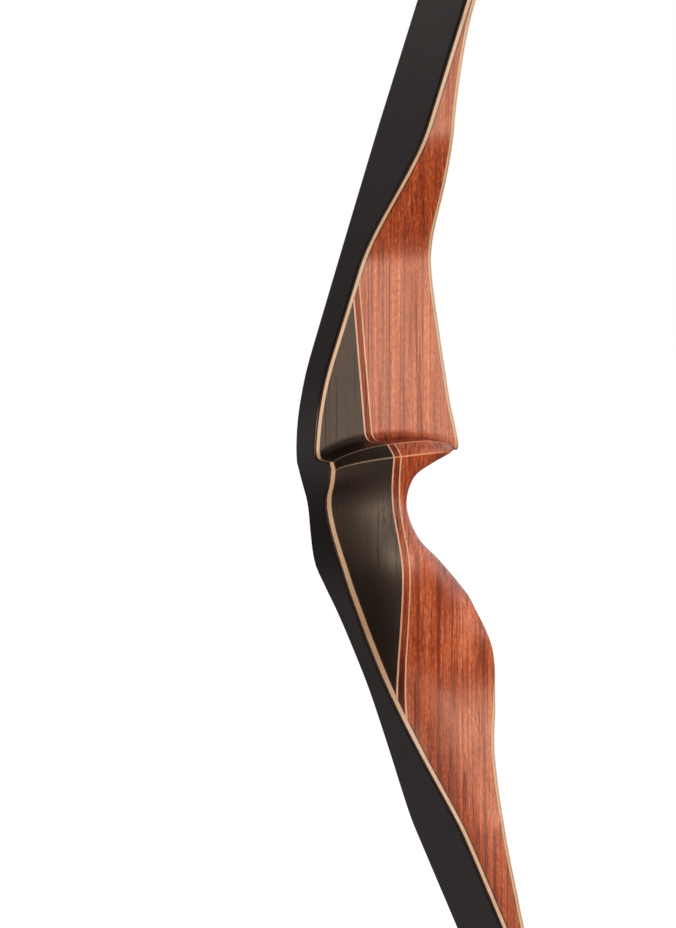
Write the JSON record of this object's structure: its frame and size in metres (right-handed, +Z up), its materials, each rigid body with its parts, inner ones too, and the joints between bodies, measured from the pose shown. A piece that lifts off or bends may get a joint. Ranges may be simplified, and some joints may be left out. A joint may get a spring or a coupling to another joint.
{
  "type": "recurve bow",
  "caption": "One-piece laminated wooden recurve bow, right-handed and strung, with a shaped grip, a crowned arrow shelf and a cut-in sight window.",
  "frame": {"origin": "throat of the grip, on the belly surface, in the middle of the bow's width", "axes": "+Z up the bow along the string, +X from the bow towards the archer, -Y the side on which the arrow passes"},
  "size_m": [0.2541, 0.0463, 1.4248],
  "materials": {
    "red_wood": "satin",
    "dark_wood": "satin",
    "tip_wood": "satin",
    "riser_maple": "satin",
    "limb_maple": "satin",
    "black_glass": "satin",
    "clear_glass": "satin",
    "string_fibre": "waxed",
    "serving_thread": "waxed",
    "nock_brass": "satin"
  },
  "bodies": {
    "root": {"riser_main_block": "red_wood", "riser_inner_veneer": "riser_maple", "riser_centre_strip": "red_wood", "riser_outer_veneer": "riser_maple", "riser_back_block": "dark_wood", "back_glass": "black_glass", "back_core": "limb_maple", "upper_belly_core": "limb_maple", "lower_belly_core": "limb_maple", "upper_belly_glass": "clear_glass", "lower_belly_glass": "clear_glass", "upper_tip_veneer": "limb_maple", "lower_tip_veneer": "limb_maple", "upper_tip_overlay": "tip_wood", "lower_tip_overlay": "tip_wood", "bowstring": "string_fibre", "upper_loop_serving": "serving_thread", "lower_loop_serving": "serving_thread", "centre_serving": "serving_thread", "nock_set": "nock_brass"}
  },
  "joints": []
}
